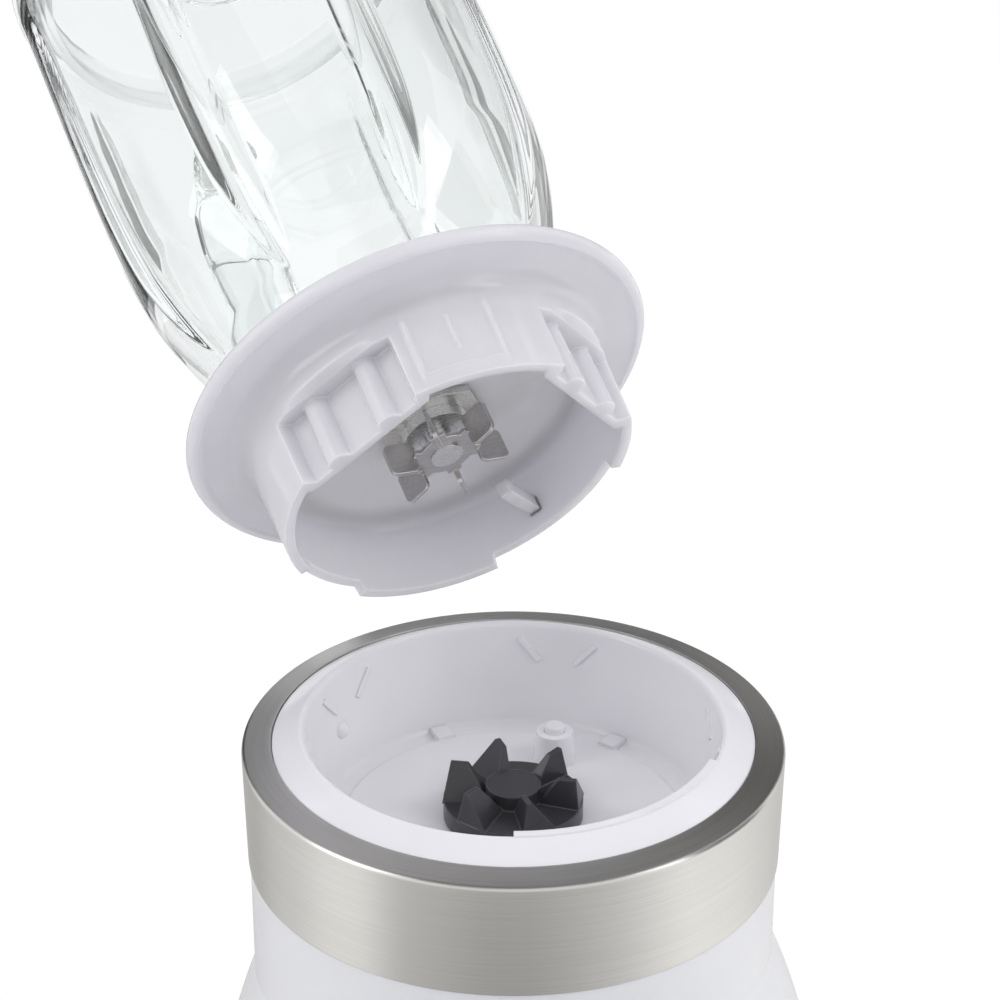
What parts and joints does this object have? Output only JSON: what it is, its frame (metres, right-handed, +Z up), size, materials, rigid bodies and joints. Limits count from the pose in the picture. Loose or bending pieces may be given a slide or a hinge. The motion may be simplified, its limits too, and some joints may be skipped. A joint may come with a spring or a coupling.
{
  "type": "countertop blender",
  "caption": "Countertop blender with a glass jug lifted off its motor base, showing the vane wheel under the collar and the toothed drive dog in the base.",
  "frame": {"origin": "on the table, on the drive axis", "axes": "+Z up along the drive axis, -Y towards the control knob, +X to the right of someone facing the knob"},
  "size_m": [0.194, 0.4033, 0.4287],
  "materials": {
    "white_plastic": "glossy white",
    "grey_plastic": "fine grained",
    "milky_plastic": "milky, slightly translucent",
    "band_steel": "brushed around the band",
    "stainless": "polished",
    "bearing_steel": "ground",
    "zinc_steel": "zinc plated",
    "black_plastic": "satin",
    "carbon": "dull",
    "black_rubber": "matte",
    "silicone": "matte",
    "lamination": "stacked sheet",
    "copper": "enamelled",
    "bracket_alloy": "die cast",
    "bronze": "sintered",
    "clear_glass": "clear with a faint green tint",
    "clear_plastic": "clear"
  },
  "bodies": {
    "base": {"base_housing": "white_plastic", "steel_band": "band_steel", "jug_socket": "white_plastic", "bottom_cover": "grey_plastic", "rubber_feet": "black_rubber", "cover_screws": "zinc_steel", "cord_inlet": "black_rubber", "dial_plate": "band_steel", "speed_switch": "black_plastic", "interlock_switch": "black_plastic", "motor_stator": "lamination", "field_coils": "copper", "motor_upper_bracket": "bracket_alloy", "motor_lower_bracket": "bracket_alloy", "upper_bearing": "bearing_steel", "lower_bearing": "bearing_steel", "bracket_bolts": "zinc_steel", "mount_grommets": "black_rubber", "mount_screws": "zinc_steel", "brush_holders": "black_plastic", "carbon_brushes": "carbon", "shaft_seal": "black_rubber"},
    "rotor": {"motor_shaft": "bearing_steel", "armature_core": "lamination", "armature_windings": "copper", "commutator": "copper", "cooling_fan": "black_plastic", "drive_dog": "black_plastic"},
    "knob": {"control_knob": "white_plastic", "knob_marker": "black_plastic"},
    "interlock": {"interlock_pin": "white_plastic"},
    "jug": {"collar": "milky_plastic", "jug_gasket": "silicone", "glass_jug": "clear_glass", "bearing_housing": "stainless", "bearing_nut": "stainless", "bearing_bushes": "bronze", "blade_seal": "silicone"},
    "blade_unit": {"blade_shaft": "stainless", "vane_coupling": "stainless", "lower_blades": "stainless", "upper_blades": "stainless", "blade_spacer": "stainless", "blade_nut": "stainless"},
    "lid": {"jug_lid": "white_plastic", "lid_gasket": "silicone"},
    "cap": {"measuring_cap": "clear_plastic"}
  },
  "joints": [
    {"name": "rotor_spin", "type": "hinge", "parent": "base", "child": "rotor", "pos_m": [0, 0, 0.1], "axis": [0, 0, 1], "continuous": true},
    {"name": "knob_turn", "type": "hinge", "parent": "base", "child": "knob", "pos_m": [0, -0.09829, 0.06], "axis": [0, 0.9781, -0.2083], "range_deg": [-45, 90]},
    {"name": "pin_press", "type": "slide", "parent": "base", "child": "interlock", "axis": [0, 0, -1], "range_m": [0, 0.002]},
    {"name": "jug_seat", "type": "hinge", "parent": "base", "child": "jug", "pos_m": [0, 0.0996, 0.1587], "axis": [1, 0, 0], "range_deg": [0, 61.3]},
    {"name": "blade_spin", "type": "hinge", "parent": "jug", "child": "blade_unit", "pos_m": [0, 0.03905, 0.2391], "axis": [0, 0.8771, 0.4802], "continuous": true},
    {"name": "lid_lift", "type": "slide", "parent": "jug", "child": "lid", "axis": [0, 0.8771, 0.4802], "range_m": [0, 0.06]},
    {"name": "cap_lift", "type": "slide", "parent": "lid", "child": "cap", "axis": [0, 0.8771, 0.4802], "range_m": [0, 0.04]}
  ],
  "couplings": [
    {"joint": "blade_spin", "follows": "rotor_spin", "ratio": 1},
    {"joint": "pin_press", "follows": "jug_seat", "m_per_rad": 0.00186}
  ]
}
